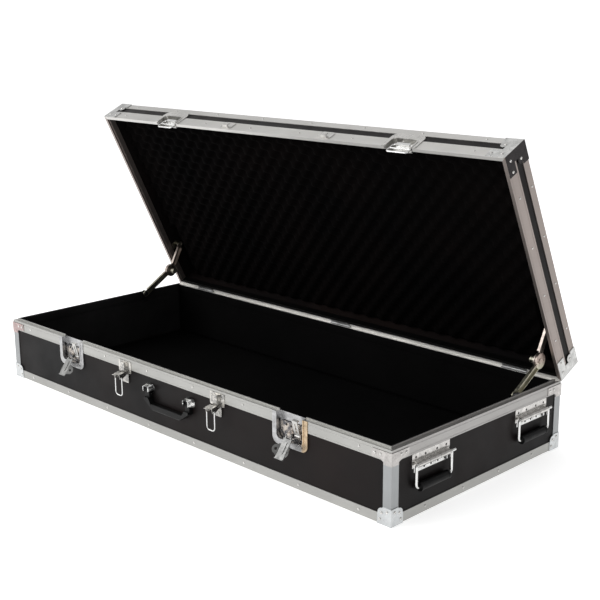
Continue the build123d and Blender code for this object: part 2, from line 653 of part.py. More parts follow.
def stay_base_bracket():
    y, z = STAY_A
    wall = STAY_WALL
    plate = rect(y - 8, y + 8, z - 20, z) + disc(y, z, 8)
    bracket = yz_plate(plate - disc(y, z - 13, 2), wall - 2, wall)
    bracket = bracket + rod(stay_point(STAY_A, wall - 2), stay_point(STAY_A, 577.5), 3.0)
    bracket = bracket + rod(stay_point(STAY_A, wall - 2), stay_point(STAY_A, 580.8), 5.0)
    return bracket + rod(stay_point(STAY_A, 578.7), stay_point(STAY_A, 577.0), 5.0)


def stay_lower():
    web = strip(STAY_A, STAY_E, ARM_HALF) + disc(*STAY_A, 8) - disc(*STAY_A, 3.06)
    arm = yz_plate(web, 579.0, 580.5)
    for side in (-1, 1):
        flange = strip(STAY_A, STAY_E, 0.6, 10, 15, side * (ARM_HALF - 0.6))
        arm = arm + yz_plate(flange, 580.5, 585.0)
    cover = disc(*STAY_E, DISC_R) - disc(STAY_E[0] + 9, STAY_E[1], 1.6) - disc(STAY_E[0] - 9, STAY_E[1], 1.6)
    arm = arm + yz_plate(cover, 579.0, 582.0)
    for x0, x1, radius in ((582.0, 583.4, 5.5), (577.8, 579.0, 9.0), (573.6, 579.0, 4.0),
                           (573.0, 574.2, 6.0), (564.0, 573.6, 3.0)):
        arm = arm + rod(stay_point(STAY_E, x0), stay_point(STAY_E, x1), radius)
    return arm


def stay_upper():
    place = lid_point(*STAY_B)
    web = strip(STAY_E, place, ARM_HALF) + disc(*place, ARM_HALF) - disc(*place, 3.4)
    cover = disc(*STAY_E, DISC_R)
    hole = disc(*STAY_E, 4.06)
    arm = yz_plate(web - hole, 576.0, 577.5) + yz_plate(cover - hole, 574.5, 577.5)
    for side in (-1, 1):
        flange = strip(STAY_E, place, 0.6, 18, 10, side * (ARM_HALF - 0.6))
        arm = arm + yz_plate(flange, 571.5, 576.0)
    return arm


def stay_button():
    knob = rod(stay_point(STAY_E, 560.0), stay_point(STAY_E, 571.2), 6.4)
    collar = rod(stay_point(STAY_E, 561.2), stay_point(STAY_E, 563.6), 7.0)
    return knob + collar - rod(stay_point(STAY_E, 562.3), stay_point(STAY_E, 572.0), 3.06)


def stay_lid_bracket():
    place = lid_point(*STAY_B)
    root = lid_point(STAY_B[0], 21.0)
    plate = strip(root, place, 8.0) + disc(*place, 8)
    bracket = yz_plate(plate, STAY_WALL + 0.5, HX - PANEL_S)
    return bracket + rod(stay_point(place, STAY_WALL + 0.5), stay_point(place, 578.0), 3.0)


# ---- Writing the parts ------------------------------------------------------------------------
def save(node, shape):
    export_step(shape, f"parts/{node}.step")


def save_sides(node, shape):
    """A piece modelled on the right, and its mirror image on the left."""
    save(f"{node}_right", shape)
    save(f"{node}_left", flip_x(shape))


def save_copies(node, shape, x):
    """A piece modelled at the middle of the front, put at both its places."""
    save(f"{node}_right", Pos(x, 0, 0) * shape)
    save(f"{node}_left", Pos(-x, 0, 0) * shape)


def save_all(names, shapes):
    for node, shape in zip(names, shapes):
        save(node, shape)


os.makedirs("parts", exist_ok=True)

save_all(("base_floor_panel", "base_front_panel", "base_back_panel", "base_end_panels"), base_panels())
save_all(("base_front_rim", "base_back_rim", "base_end_rims"), base_rims())
save("base_bottom_edges", base_edges())
save("base_corner_posts", base_posts())
save("base_bottom_corners", base_corners())
save("base_rim_braces", base_braces())
save("base_rivets", base_rivets())
save("base_lining", base_lining())

save_all(("hinge_base_leaves", "hinge_lid_leaves", "hinge_pins"), hinges())

save_all(("lid_top_panel", "lid_wall_panels"), lid_panels())
save_all(("lid_front_rim", "lid_back_rim", "lid_end_rims"), lid_rims())
save("lid_top_edges", lid_edges())
save("lid_corners", lid_corners())
save("lid_rivets", lid_rivets())
save("lid_foam", lid_foam())

save("latch_base_dishes", base_dishes())
save("latch_lid_dishes", lid_dishes())
save("latch_mechanisms", group(*[Pos(x, 0, 0) * latch_mechanism() for x in (-DISH_X, DISH_X)]))
save("latch_strikers", opened(group(*[Pos(x, 0, 0) * striker() for x in (-DISH_X, DISH_X)])))
save_copies("latch_spindle", latch_spindle(), DISH_X)
save("latch_key_right", Pos(DISH_X, 0, 0) * latch_key(-KEY_WINGS))
save("latch_key_left", Pos(-DISH_X, 0, 0) * latch_key(KEY_WINGS))
save_copies("latch_hook", latch_hook(), DISH_X)

save("draw_latch_plates", group(*[Pos(x, 0, 0) * draw_plate() for x in (-DRAW_X, DRAW_X)]))
save("draw_latch_keepers", opened(group(*[Pos(x, 0, 0) * draw_keeper() for x in (-DRAW_X, DRAW_X)])))
save_copies("draw_lever", draw_lever(), DRAW_X)
save_copies("draw_loop", draw_loop(), DRAW_X)

save("carry_handle_caps", pair(carry_cap()))
save("carry_handle_grip", carry_grip())

save("end_handle_plates", pair(group(*[Pos(0, y, 0) * bail_plate() for y in (BAIL_FRONT_Y, BAIL_BACK_Y)])))
for row, y in (("front", BAIL_FRONT_Y), ("back", BAIL_BACK_Y)):
    save_sides(f"end_bail_{row}", Pos(0, y, 0) * bail())
    save_sides(f"end_grip_{row}", Pos(0, y, 0) * bail_grip())

save("stay_base_brackets", pair(stay_base_bracket()))
save("stay_lid_brackets", pair(stay_lid_bracket()))
save_sides("stay_lower_arm", stay_lower())
save_sides("stay_upper_arm", stay_upper())
save_sides("stay_button", stay_button())
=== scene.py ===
import json

import bmesh
import bpy
import mathutils
import numpy as np

from math import cos, pi, radians, sin, sqrt
from mathutils import Matrix, Vector


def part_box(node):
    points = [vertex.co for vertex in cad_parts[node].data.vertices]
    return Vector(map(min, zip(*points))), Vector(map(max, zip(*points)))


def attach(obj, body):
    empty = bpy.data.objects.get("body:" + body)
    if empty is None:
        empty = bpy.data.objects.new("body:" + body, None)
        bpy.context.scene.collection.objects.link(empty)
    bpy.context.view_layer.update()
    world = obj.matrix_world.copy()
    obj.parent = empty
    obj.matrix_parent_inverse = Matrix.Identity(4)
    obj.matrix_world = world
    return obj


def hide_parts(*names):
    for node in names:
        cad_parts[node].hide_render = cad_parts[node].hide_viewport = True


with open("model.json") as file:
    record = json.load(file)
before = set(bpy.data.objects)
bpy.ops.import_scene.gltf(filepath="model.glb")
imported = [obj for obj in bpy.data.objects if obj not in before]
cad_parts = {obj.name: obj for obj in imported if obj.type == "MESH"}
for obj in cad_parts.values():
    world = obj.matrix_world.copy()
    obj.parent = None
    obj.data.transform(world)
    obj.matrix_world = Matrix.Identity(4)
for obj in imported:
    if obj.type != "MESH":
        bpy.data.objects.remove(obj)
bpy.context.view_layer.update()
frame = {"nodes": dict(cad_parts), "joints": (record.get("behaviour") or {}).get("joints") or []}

nodes = frame["nodes"]

# ---- Camera: where it stands, and the way it looks ---------------------------------------------
CAMERA_AT = Vector((1.7564, -1.6188, 0.8639))
CAMERA_AZIMUTH = radians(-45.26)
CAMERA_DIP = radians(14.47)
CAMERA_ROLL = radians(-0.40)
CAMERA_LENS, SENSOR_WIDTH = 67.88, 36         # mm


def make_camera():
    ahead = Vector((sin(CAMERA_AZIMUTH) * cos(CAMERA_DIP), cos(CAMERA_AZIMUTH) * cos(CAMERA_DIP),
                    -sin(CAMERA_DIP)))
    side = ahead.cross(Vector((0, 0, 1))).normalized()
    above = side.cross(ahead)
    side, above = (side * cos(CAMERA_ROLL) + above * sin(CAMERA_ROLL),
                   above * cos(CAMERA_ROLL) - side * sin(CAMERA_ROLL))
    data = bpy.data.cameras.new("camera")
    data.lens = CAMERA_LENS
    data.sensor_width = SENSOR_WIDTH
    data.clip_end = 100
    camera = bpy.data.objects.new("camera", data)
    bpy.context.scene.collection.objects.link(camera)
    turn = Matrix((side, above, -ahead)).transposed()
    camera.matrix_world = Matrix.Translation(CAMERA_AT) @ turn.to_4x4()
    bpy.context.scene.camera = camera


make_camera()
bpy.context.scene.view_settings.view_transform = "Standard"

# ---- Geometry of the lid at rest ---------------------------------------------------------------
LID_OPEN = radians(64.5)
HINGE = Vector(next(j for j in frame["joints"] if j["name"] == "lid_hinge")["pos_m"])


def lid_place(x, u, t):
    """A point x across, u from the hinge along the open lid, and t into its depth."""
    return Vector((x, HINGE.y - u * cos(LID_OPEN) + t * sin(LID_OPEN),
                   HINGE.z + u * sin(LID_OPEN) + t * cos(LID_OPEN)))


# ---- Materials ---------------------------------------------------------------------------------
MIX_FACTOR, MIX_BELOW, MIX_ABOVE, MIX_RESULT = 0, 6, 7, 2     # the Mix node's sockets for colours
NOISE_LOW, NOISE_HIGH = 0.3, 0.7                              # where most of a noise texture's values lie


class Paint:
    """One procedural material: a Principled shader and the textures that feed it."""

    def __init__(self, name, colour, rough, metal=0.0, specular=0.5):
        self.material = bpy.data.materials.new(name)
        self.material.use_nodes = True
        self.tree = self.material.node_tree
        self.shader = self.tree.nodes["Principled BSDF"]
        self.set("Base Color", (*colour, 1))
        self.set("Roughness", rough)
        self.set("Metallic", metal)
        self.set("Specular IOR Level", specular)
        self.height = None

    def soften(self, radius):
        """Rounds the look of sharp edges, as on stamped or extruded metal."""
        made = self.new("ShaderNodeBevel", Radius=radius)
        made.samples = 4
        self.height = made.outputs["Normal"]
        self.link(self.height, self.shader.inputs["Normal"])

    def past(self, axis, low, high, turn=0.0):
        """0 at low along an axis of the object, once turned about X, and 1 at high."""
        split = self.new("ShaderNodeSeparateXYZ")
        self.link(self.place(turn=turn), split.inputs["Vector"])
        made = self.new("ShaderNodeMapRange")
        made.inputs["From Min"].default_value = low
        made.inputs["From Max"].default_value = high
        self.link(split.outputs[axis], made.inputs["Value"])
        return made.outputs["Result"]

    def both(self, one, other):
        """1 only where both are."""
        made = self.new("ShaderNodeMath")
        made.operation = "MULTIPLY"
        self.link(one, made.inputs[0])
        self.link(other, made.inputs[1])
        return made.outputs["Value"]

    def bands(self, fac, below, above):
        """One colour where fac is 0, another where it is 1."""
        mix = self.new("ShaderNodeMix")
        mix.data_type = "RGBA"
        self.link(fac, mix.inputs[MIX_FACTOR])
        self.link(below, mix.inputs[MIX_BELOW])
        self.link(above, mix.inputs[MIX_ABOVE])
        self.link(mix.outputs[MIX_RESULT], self.shader.inputs["Base Color"])

    def set(self, socket, value):
        self.shader.inputs[socket].default_value = value

    def new(self, kind, **inputs):
        made = self.tree.nodes.new(kind)
        for key, value in inputs.items():
            made.inputs[key.replace("_", " ")].default_value = value
        return made

    def link(self, source, target):
        self.tree.links.new(source, target)

    def place(self, stretch=(1, 1, 1), turn=0.0):
        """Coordinates in the object's own frame, turned about X and stretched."""
        coords = self.new("ShaderNodeTexCoord")
        mapping = self.new("ShaderNodeMapping")
        mapping.inputs["Rotation"].default_value = (turn, 0, 0)
        mapping.inputs["Scale"].default_value = stretch
        self.link(coords.outputs["Object"], mapping.inputs["Vector"])
        return mapping.outputs["Vector"]

    def noise(self, scale, detail=3.0, rough=0.55, stretch=(1, 1, 1), turn=0.0, warp=0.0):
        made = self.new("ShaderNodeTexNoise", Scale=scale, Detail=detail, Roughness=rough, Distortion=warp)
        self.link(self.place(stretch, turn), made.inputs["Vector"])
        return made.outputs["Fac"]

    def cells(self, scale):
        made = self.new("ShaderNodeTexVoronoi", Scale=scale)
        self.link(self.place(), made.inputs["Vector"])
        return made.outputs["Distance"]

    def ramp(self, fac, low, high, colours):
        """The first colour up to low, the second from high on."""
        made = self.new("ShaderNodeValToRGB")
        made.color_ramp.elements[0].position = low
        made.color_ramp.elements[1].position = high
        for element, colour in zip(made.color_ramp.elements, colours):
            element.color = (*colour, 1)
        self.link(fac, made.inputs["Fac"])
        return made.outputs["Color"]

    def spread(self, fac, low, high):
        """A noise stretched to run from low to high."""
        made = self.new("ShaderNodeMapRange")
        made.inputs["From Min"].default_value = NOISE_LOW
        made.inputs["From Max"].default_value = NOISE_HIGH
        made.inputs["To Min"].default_value = low
        made.inputs["To Max"].default_value = high
        self.link(fac, made.inputs["Value"])
        return made.outputs["Result"]

    def tint(self, fac, low, high, colours):
        self.link(self.ramp(fac, low, high, colours), self.shader.inputs["Base Color"])

    def vary_rough(self, fac, low, high):
        self.link(self.spread(fac, low, high), self.shader.inputs["Roughness"])

    def bump(self, fac, strength, distance):
        made = self.new("ShaderNodeBump", Strength=strength, Distance=distance)
        self.link(fac, made.inputs["Height"])
        if self.height:
            self.link(self.height, made.inputs["Normal"])
        self.height = made.outputs["Normal"]
        self.link(self.height, self.shader.inputs["Normal"])


def shade(colour, factor):
    return tuple(min(1.0, c * factor) for c in colour)


def laminate():
    """Black hard laminate with a fine pebble and faint warm patches."""
    paint = Paint("laminate", (0.007, 0.0068, 0.007), 0.42, specular=0.1)
    paint.tint(paint.noise(3.1, 4, 0.6), 0.35, 0.7, ((0.0050, 0.0048, 0.0052), (0.0110, 0.0074, 0.0068)))
    paint.vary_rough(paint.noise(22, 3), 0.34, 0.5)
    paint.bump(paint.cells(900), 0.18, 0.0002)
    paint.bump(paint.noise(14, 2), 0.06, 0.0015)
    return paint.material


def aluminium(name, stretch, colour, turn=0.0, other=None, where=None):
    """Satin anodised extrusion with lines along its length, in the other colour, a painted shade,
    where(paint) is 1.
    """
    paint = Paint(name, colour, 0.36, metal=0.86)
    paint.soften(0.0004)
    lines = paint.noise(9, 6, 0.7, stretch=stretch, turn=turn)
    clouds = paint.noise(5, 4, 0.6)
    if where:
        zones = [paint.ramp(clouds, 0.3, 0.75, (shade(c, 0.9), shade(c, 1.08))) for c in (colour, other)]
        paint.bands(where(paint), *zones)
    else:
        paint.tint(clouds, 0.3, 0.75, (shade(colour, 0.9), shade(colour, 1.08)))
    paint.vary_rough(lines, 0.28, 0.46)
    paint.bump(lines, 0.12, 0.0003)
    paint.bump(paint.noise(700, 2), 0.05, 0.0002)
    return paint.material


def plated(name, colour, rough, patch=0.85, edge=0.0004):
    """Plated sheet or wire: nearly smooth, with clouded plating and fine scratches."""
    paint = Paint(name, colour, rough, metal=1.0)
    paint.soften(edge)
    paint.tint(paint.noise(38, 4, 0.6, warp=0.4), 0.3, 0.72, (shade(colour, patch), shade(colour, 1.1)))
    paint.vary_rough(paint.noise(120, 4, 0.7), rough * 0.7, rough * 1.5)
    paint.bump(paint.noise(420, 3), 0.06, 0.0002)
    return paint.material


def two_plate(name, where, below, above, rough):
    """Plating of two colours, with the same clouds in both; on the lid's corners the second is painted
    shade. where(paint) is 0 to 1.
    """
    paint = Paint(name, below, rough, metal=1.0)
    paint.soften(0.0005)
    clouds = paint.noise(70, 4, 0.65, warp=0.6)
    zones = [paint.ramp(clouds, 0.34, 0.66, (shade(c, 0.74), shade(c, 1.14))) for c in (below, above)]
    paint.bands(where(paint), *zones)
    paint.vary_rough(paint.noise(120, 4, 0.7), rough * 0.7, rough * 1.5)
    paint.bump(paint.noise(420, 3), 0.06, 0.0002)
    return paint.material


def patches_of_shade_and_sheen(name, dark, light, rough):
    """Stamped works in the shade of their pan: dark and bright patches over the plating, which are painted
    shade and painted reflections.
    """
    paint = Paint(name, light, rough, metal=1.0)
    paint.soften(0.0006)
    paint.tint(paint.noise(75, 4, 0.65, warp=1.1), 0.44, 0.58, (dark, light))
    paint.vary_rough(paint.noise(120, 4, 0.7), rough * 0.7, rough * 1.5)
    paint.bump(paint.noise(210, 3), 0.12, 0.0006)
    return paint.material


def moulded(name, colour, rough, grain, depth):
    """Moulded plastic or rubber with a fine grain."""
    paint = Paint(name, colour, rough, specular=0.18)
    paint.soften(0.0008)
    paint.tint(paint.noise(30, 3), 0.3, 0.7, (shade(colour, 0.8), shade(colour, 1.25)))
    paint.vary_rough(paint.noise(60, 3), rough * 0.85, rough * 1.15)
    paint.bump(paint.cells(grain), depth, 0.0003)
    return paint.material


def felt(name, grey):
    """Black needled felt: matt, with short fibres and worn lighter patches."""
    colour = (grey, grey * 0.97, grey)
    paint = Paint(name, colour, 0.95, specular=0.05)
    paint.tint(paint.noise(4.5, 5, 0.65), 0.35, 0.75, (colour, shade(colour, 2.1)))
    paint.bump(paint.noise(1500, 4, 0.7, warp=1.2), 0.5, 0.0008)
    paint.bump(paint.noise(60, 3), 0.2, 0.0012)
    return paint.material


def sponge():
    """Black open-cell foam."""
    paint = Paint("sponge", (0.0018, 0.0017, 0.0018), 0.96, specular=0.03)
    paint.tint(paint.noise(6, 4, 0.6), 0.3, 0.75, ((0.0012, 0.0011, 0.0012), (0.0030, 0.0022, 0.0021)))
    paint.bump(paint.cells(1100), 0.45, 0.0006)
    return paint.material


# Where a piece changes colour, in metres at rest; some of these mark painted shade.
# Painted shade on the right side of the lid's front rim and top edges.
def lid_right_side_shade(paint):
    return paint.past("X", 0.597, 0.599)


def lid_inner_leg_shade(paint):
    """The face of the lid's back rim that looks at the foam, short of its lip: painted in shade."""
    inward = paint.past("Y", -0.0216, -0.0219, LID_OPEN)
    return paint.both(inward, paint.past("Z", 0.2946, 0.2950, LID_OPEN))


def right_of_left_end(paint):
    return paint.past("X", -0.56, -0.55)


def lid_corner_cheek_shade(paint):
    """The right cheek of the lid's upper right corner, painted in shade."""
    return paint.both(paint.past("X", 0.6002, 0.6006), paint.past("Z", 0.42, 0.45))


def right_flange(paint):
    return paint.past("X", 0.383, 0.388)


def stay_disc(paint):
    return paint.past("Z", 0.176, 0.190)


def plate_above_sleeve(paint):
    return paint.past("Z", 0.0935, 0.0945)


ACROSS = (1, 60, 60)          # drawing lines along X
BACKWARD = (60, 1, 60)
UPRIGHT = (60, 60, 1)
LAMINATE, SPONGE = laminate(), sponge()
# The left wall's felt is the same felt painted lighter: painted light.
FELT, LEFT_WALL_FELT_LIT = felt("felt", 0.0020), felt("felt_painted_light", 0.0150)
# ALU_X is the aluminium's own tone. The others are lit and shaded copies of it: painted light on the
# base's back rim and on the lid's edges and back rim, painted shade on the ends and the posts, and painted
# shade with a warm painted reflection on the lid's sides.
ALU_X = aluminium("aluminium_across", ACROSS, (0.415, 0.412, 0.395))
ALU_BACK_RIM_LIT = aluminium("aluminium_back_rim_lit", ACROSS, (0.86, 0.85, 0.83))
ALU_ENDS_SHADED = aluminium("aluminium_back", BACKWARD, (0.37, 0.36, 0.35))
ALU_POSTS_SHADED = aluminium("aluminium_upright_shaded", UPRIGHT, (0.335, 0.345, 0.35))
ALU_LID = aluminium("aluminium_lid_side_shaded", BACKWARD, (0.33, 0.285, 0.265), LID_OPEN)
# The right side of the lid's front rim and top edges is painted darker: painted shade.
ALU_LID_EDGE_LIT_AND_SHADED = aluminium("aluminium_lid_edge_lit_and_shaded", ACROSS, (0.58, 0.57, 0.55),
                         other=(0.30, 0.26, 0.24), where=lid_right_side_shade)
# The face of the lid's back rim toward the foam is painted nearly black: painted shade.
ALU_LID_BACK_LIT_AND_SHADED = aluminium("aluminium_lid_back_lit_and_shaded", ACROSS, (0.70, 0.69, 0.67),
                         other=(0.012, 0.012, 0.012), where=lid_inner_leg_shade)
CORNER = plated("corner_plating", (0.60, 0.615, 0.62), 0.3, edge=0.0008)
BRACE = two_plate("brace_plating", right_of_left_end, (0.44, 0.34, 0.33), (0.50, 0.48, 0.465), 0.3)
# The right cheek of the lid's corners is painted nearly black: painted shade.
LID_CORNER_WITH_SHADE = two_plate("lid_corner_plating_and_painted_shade", lid_corner_cheek_shade,
                       (0.56, 0.56, 0.55), (0.026, 0.023, 0.024), 0.3)
NICKEL = plated("nickel", (0.58, 0.57, 0.55), 0.28)
KEY_PLATE = plated("key_plating", (0.25, 0.25, 0.245), 0.36, patch=0.6)
DISH = two_plate("dish_plating", right_flange, (0.46, 0.46, 0.465), (0.56, 0.43, 0.29), 0.28)
# The works, catches and caps carry dark and bright patches that are painted shade and painted reflections.
WORKS = patches_of_shade_and_sheen("works_plating_painted_shade", (0.10, 0.10, 0.11), (0.52, 0.47, 0.42), 0.24)
CHROME = plated("bright_wire", (0.74, 0.74, 0.73), 0.16, patch=0.85)
CATCH = patches_of_shade_and_sheen("catch_plating_painted_shade", (0.30, 0.295, 0.285), (0.62, 0.60, 0.565), 0.22)
CAP = patches_of_shade_and_sheen("cap_chrome_painted_reflections", (0.06, 0.06, 0.06), (0.80, 0.80, 0.79), 0.12)
ZINC = plated("pale_zinc", (0.50, 0.48, 0.39), 0.34, patch=0.72)
STAY_LOWER = two_plate("stay_lower_zinc", stay_disc, (0.50, 0.48, 0.38), (0.52, 0.43, 0.38), 0.34)
ZINC_PINK = plated("pink_zinc", (0.46, 0.40, 0.36), 0.34, patch=0.75)
HINGE_PLATE = plated("hinge_plating", (0.34, 0.34, 0.34), 0.32, patch=0.5)
BLUED = plated("blued_steel", (0.12, 0.12, 0.13), 0.34, patch=0.7)
HANDLE_PLATE = two_plate("handle_plate", plate_above_sleeve, (0.68, 0.68, 0.67), (0.60, 0.585, 0.565), 0.2)
RIVET = plated("rivet_plating", (0.66, 0.65, 0.63), 0.24)
PLASTIC = moulded("handle_plastic", (0.004, 0.004, 0.0042), 0.4, 1400, 0.1)
RUBBER = moulded("handle_rubber", (0.003, 0.003, 0.0033), 0.5, 1100, 0.16)


def cover(names, material):
    """Gives CAD nodes a procedural material in place of the record's plain one."""
    for name in names:
        mesh = nodes[name].data
        mesh.materials.clear()
        mesh.materials.append(material)


def starting(*heads):
    """The nodes whose names start with one of the heads."""
    return [name for name in nodes if name.startswith(heads)]


cover(sorted(nodes), NICKEL)
cover([name for name in nodes if name.endswith(("_panel", "_panels"))], LAMINATE)
cover(["base_front_rim", "base_bottom_edges"], ALU_X)
cover(["base_back_rim"], ALU_BACK_RIM_LIT)
cover(["lid_front_rim", "lid_top_edges"], ALU_LID_EDGE_LIT_AND_SHADED)
cover(["lid_back_rim"], ALU_LID_BACK_LIT_AND_SHADED)
cover(["base_end_rims"], ALU_ENDS_SHADED)
cover(["base_corner_posts"], ALU_POSTS_SHADED)
cover(["lid_end_rims"], ALU_LID)
cover(["base_bottom_corners"], CORNER)
cover(["base_rim_braces"], BRACE)
cover(["lid_corners"], LID_CORNER_WITH_SHADE)
cover(["latch_base_dishes"], DISH)
cover(["latch_mechanisms"] + starting("latch_spindle"), WORKS)
cover(starting("latch_key"), KEY_PLATE)
cover(starting("draw_loop", "end_bail") + ["latch_strikers"], CHROME)
cover(starting("draw_lever") + ["draw_latch_plates"], CATCH)
cover(["carry_handle_caps"], CAP)
cover(["end_handle_plates"], HANDLE_PLATE)
cover(starting("hinge_"), HINGE_PLATE)
cover(starting("stay_lid", "stay_button"), ZINC)
cover(starting("stay_lower"), STAY_LOWER)
cover(starting("stay_upper"), ZINC_PINK)
cover(["stay_base_brackets"], BLUED)
cover(["carry_handle_grip"], PLASTIC)
cover(starting("end_grip"), RUBBER)


# ---- Making pieces -----------------------------------------------------------------------------
def piece(name, verts, faces, material, body):
    """A smooth-shaded mesh that rides on one body."""
    mesh = bpy.data.meshes.new(name)
    mesh.from_pydata([tuple(v) for v in verts], [], faces)
    mesh.update()
    made = bpy.data.objects.new(name, mesh)
    bpy.context.scene.collection.objects.link(made)
    mesh.materials.append(material)
    mesh.polygons.foreach_set("use_smooth", [True] * len(mesh.polygons))
    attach(made, body)
    return made


# ---- Egg-crate foam in the lid -----------------------------------------------------------------
FOAM_PITCH = 0.0295           # along the two diagonals
FOAM_STEP = 0.0035            # of the grid
FOAM_RELIEF = 0.0105          # from the peaks to the hollows
FOAM_BACK = 0.0545            # depth of the lid panel's inside from the lid's opening plane
FOAM_GAP = 0.0002             # left between the foam and the panel
FOAM_THICK = 0.025
FOAM_NEAR, FOAM_FAR = 0.0105, 0.5015      # from the hinge
FOAM_EDGE, FOAM_EDGE_DROP = 0.006, 0.004  # how its edges round off
STAY_ROOM_X, STAY_ROOM_U = 0.555, 0.165   # beyond this x, short of this u, is room for a stay


def foam():
    """Crossed waves, closed by a skirt down to the lid's panel."""
    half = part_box("lid_foam")[1].x
    nx = int(round(2 * half / FOAM_STEP))
    nu = int(round((FOAM_FAR - FOAM_NEAR) / FOAM_STEP))
    index, verts, faces = {}, [], []
    for i in range(nx + 1):
        for k in range(nu + 1):
            x = -half + 2 * half * i / nx
            u = FOAM_NEAR + (FOAM_FAR - FOAM_NEAR) * k / nu
            if abs(x) > STAY_ROOM_X and u < STAY_ROOM_U:
                continue
            p = (x + u) / sqrt(2) / FOAM_PITCH * 2 * pi
            q = (x - u) / sqrt(2) / FOAM_PITCH * 2 * pi
            wave = (cos(p) + cos(q)) / 4 + 0.5
            wave = wave * wave * (3 - 2 * wave)
            edge = min(half - abs(x), u - FOAM_NEAR, FOAM_FAR - u)
            drop = FOAM_RELIEF * (1 - wave) + FOAM_EDGE_DROP * max(0.0, 1 - edge / FOAM_EDGE) ** 2
            index[i, k] = len(verts)
            verts.append(lid_place(x, u, FOAM_BACK - FOAM_THICK + drop))
    for i, k in index:
        square = [(i, k), (i, k + 1), (i + 1, k + 1), (i + 1, k)]
        if all(s in index for s in square):
            faces.append([index[s] for s in square])
    made = piece("egg_crate_foam", verts, faces, SPONGE, "lid")
    mesh = bmesh.new()
    mesh.from_mesh(made.data)
    rim = [e for e in mesh.edges if e.is_boundary]
    skirt = bmesh.ops.extrude_edge_only(mesh, edges=rim)["geom"]
    inward = lid_place(0, 0, 1) - lid_place(0, 0, 0)
    for v in [g for g in skirt if isinstance(g, bmesh.types.BMVert)]:
        depth = (v.co - HINGE).dot(inward)
        v.co += inward * (FOAM_BACK - FOAM_GAP - depth)
    bmesh.ops.recalc_face_normals(mesh, faces=mesh.faces)
    mesh.to_mesh(made.data)
    mesh.free()
    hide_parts("lid_foam")


foam()

# ---- Felt lining, one sheet on the floor and one on each wall ----------------------------------
HALF_X, HALF_Y = 0.6, 0.2575  # the case's outer faces
INSET = 0.0094                # from them to the floor felt's edge
FELT_THICK = 0.0012
FELT_WAVE = 0.00035
WAVES_PER_METRE = 11
FLOOR_TOP = 0.0117
FLOOR_GAP = 0.0001            # between the floor's felt and the walls' felts
LEAST_STEP = 0.0001           # rows of a grid are no closer
FELT_STEP, FLOOR_STEP = 0.008, 0.012      # of the walls' and floor's grids
FELT_RISE = 0.0075            # of the walls' grids, upward
WALL_BACK = 0.0093            # from the outer faces to the back of a wall's felt
RIM_FOOT, RIM_RISE, RIM_STEP = 0.1212, 0.0026, 0.0009         # where that felt steps in over the rim
RIM_TOP, BACK_TOP = 0.1444, 0.1406
LATCH_X, LATCH_HALF, LATCH_LOW = 0.354, 0.0355, 0.088         # cut-out behind each latch's dish
STAY_Y, STAY_HALF, STAY_LOW = 0.126, 0.009, 0.118             # cut-out at each stay's bracket


def steps(low, high, size, extra=()):
    """Even steps of about a size, with a few more values put in."""
    count = max(1, round((high - low) / size))
    values = {round(low + (high - low) * i / count, 6) for i in range(count + 1)}
    return sorted(values | {round(v, 6) for v in extra if low < v < high})


def cloth(name, us, vs, place, skip):
    """A closed sheet over a grid. place(u, v, lift) is a point at a height over its backing."""
    size = len(us) * len(vs)
    verts = []
    for lift in (0.0, FELT_THICK):
        for i, u in enumerate(us):
            for k, v in enumerate(vs):
                rim = i in (0, len(us) - 1) or k in (0, len(vs) - 1)
                at_noise = Vector((u * WAVES_PER_METRE, v * WAVES_PER_METRE, len(name)))
                wave = 0.0 if rim or not lift else mathutils.noise.noise(at_noise) * FELT_WAVE
                verts.append(place(u, v, lift + wave))

    def at(i, k, layer):
        return layer * size + i * len(vs) + k

    faces, edges = [], {}
    for i in range(len(us) - 1):
        for k in range(len(vs) - 1):
            if skip((us[i] + us[i + 1]) / 2, (vs[k] + vs[k + 1]) / 2):
                continue
            ring = [(i, k), (i + 1, k), (i + 1, k + 1), (i, k + 1)]
            faces.append([at(*c, 1) for c in ring])
            faces.append([at(*c, 0) for c in reversed(ring)])
            for a, b in zip(ring, ring[1:] + ring[:1]):
                if (b, a) in edges:
                    del edges[b, a]
                else:
                    edges[a, b] = True
    for a, b in edges:
        faces.append([at(*b, 1), at(*a, 1), at(*a, 0), at(*b, 0)])
    # The left wall gets the felt with painted light.
    made = piece(name, verts, faces, LEFT_WALL_FELT_LIT if name == "felt_left_wall" else FELT, "base")
    mesh = bmesh.new()
    mesh.from_mesh(made.data)
    loose = [v for v in mesh.verts if not v.link_faces]
    bmesh.ops.delete(mesh, geom=loose, context="VERTS")
    bmesh.ops.recalc_face_normals(mesh, faces=mesh.faces)
    mesh.to_mesh(made.data)
    mesh.free()
    return made


def wall_depth(z):
    """How far the felt's back is from the aluminium's outer face: it steps in over the rim."""
    return WALL_BACK + RIM_STEP * min(1.0, max(0.0, (z - RIM_FOOT) / RIM_RISE))


# What a cloth leaves out.
def never(u, v):
    return False


def front_skip(x, z):
    return z > LATCH_LOW and abs(abs(x) - LATCH_X) < LATCH_HALF


def end_skip(y, z):
    return z > STAY_LOW and abs(y - STAY_Y) < STAY_HALF


